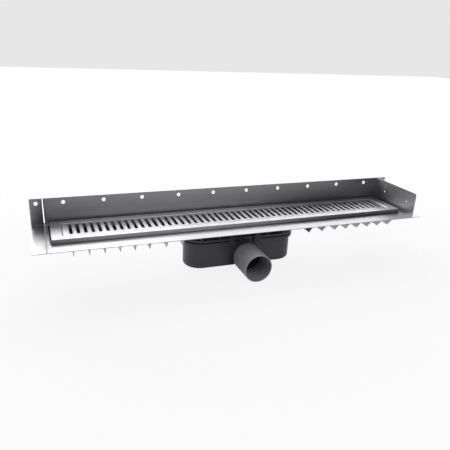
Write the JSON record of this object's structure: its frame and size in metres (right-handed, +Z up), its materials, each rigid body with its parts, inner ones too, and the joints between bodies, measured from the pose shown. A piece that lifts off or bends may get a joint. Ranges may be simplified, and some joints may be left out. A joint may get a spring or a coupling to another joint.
{
  "type": "shower channel drain",
  "caption": "Wall-side shower channel drain: folded steel tray with upstands, raised tile frame, slotted grate, and a flat water trap below with a horizontal pipe outlet.",
  "frame": {"origin": "middle of the whole assembly in plan, on the surface that the trap stands on", "axes": "+X along the channel, +Y towards the wall upstand, +Z up"},
  "size_m": [1.06, 0.2224, 0.1905],
  "materials": {
    "brushed_stainless": "brushed",
    "bright_stainless": "fine brushed",
    "zinc_steel": "bright zinc",
    "trap_plastic": "satin moulded polypropylene",
    "outlet_plastic": "satin grey pipe plastic",
    "insert_plastic": "satin moulded polypropylene",
    "black_rubber": "matt"
  },
  "bodies": {
    "root": {"adapter_seal": "black_rubber", "anchor_plates": "brushed_stainless", "body_seal": "black_rubber", "clamp_collar": "trap_plastic", "collar_clips": "trap_plastic", "end_wall_left": "brushed_stainless", "end_wall_right": "brushed_stainless", "flange_screws": "zinc_steel", "frame_brackets": "brushed_stainless", "grate": "bright_stainless", "grate_pads": "black_rubber", "hair_strainer": "bright_stainless", "insert_seal": "black_rubber", "levelling_screws": "zinc_steel", "lock_nuts": "zinc_steel", "outlet_adapter": "outlet_plastic", "outlet_neck": "brushed_stainless", "pan_gasket": "black_rubber", "pan_screws": "zinc_steel", "screw_feet": "black_rubber", "strainer_knob": "insert_plastic", "tile_frame": "bright_stainless", "trap_housing": "trap_plastic", "trap_insert": "insert_plastic", "tray_body": "brushed_stainless", "trough_pan": "brushed_stainless"}
  },
  "joints": []
}
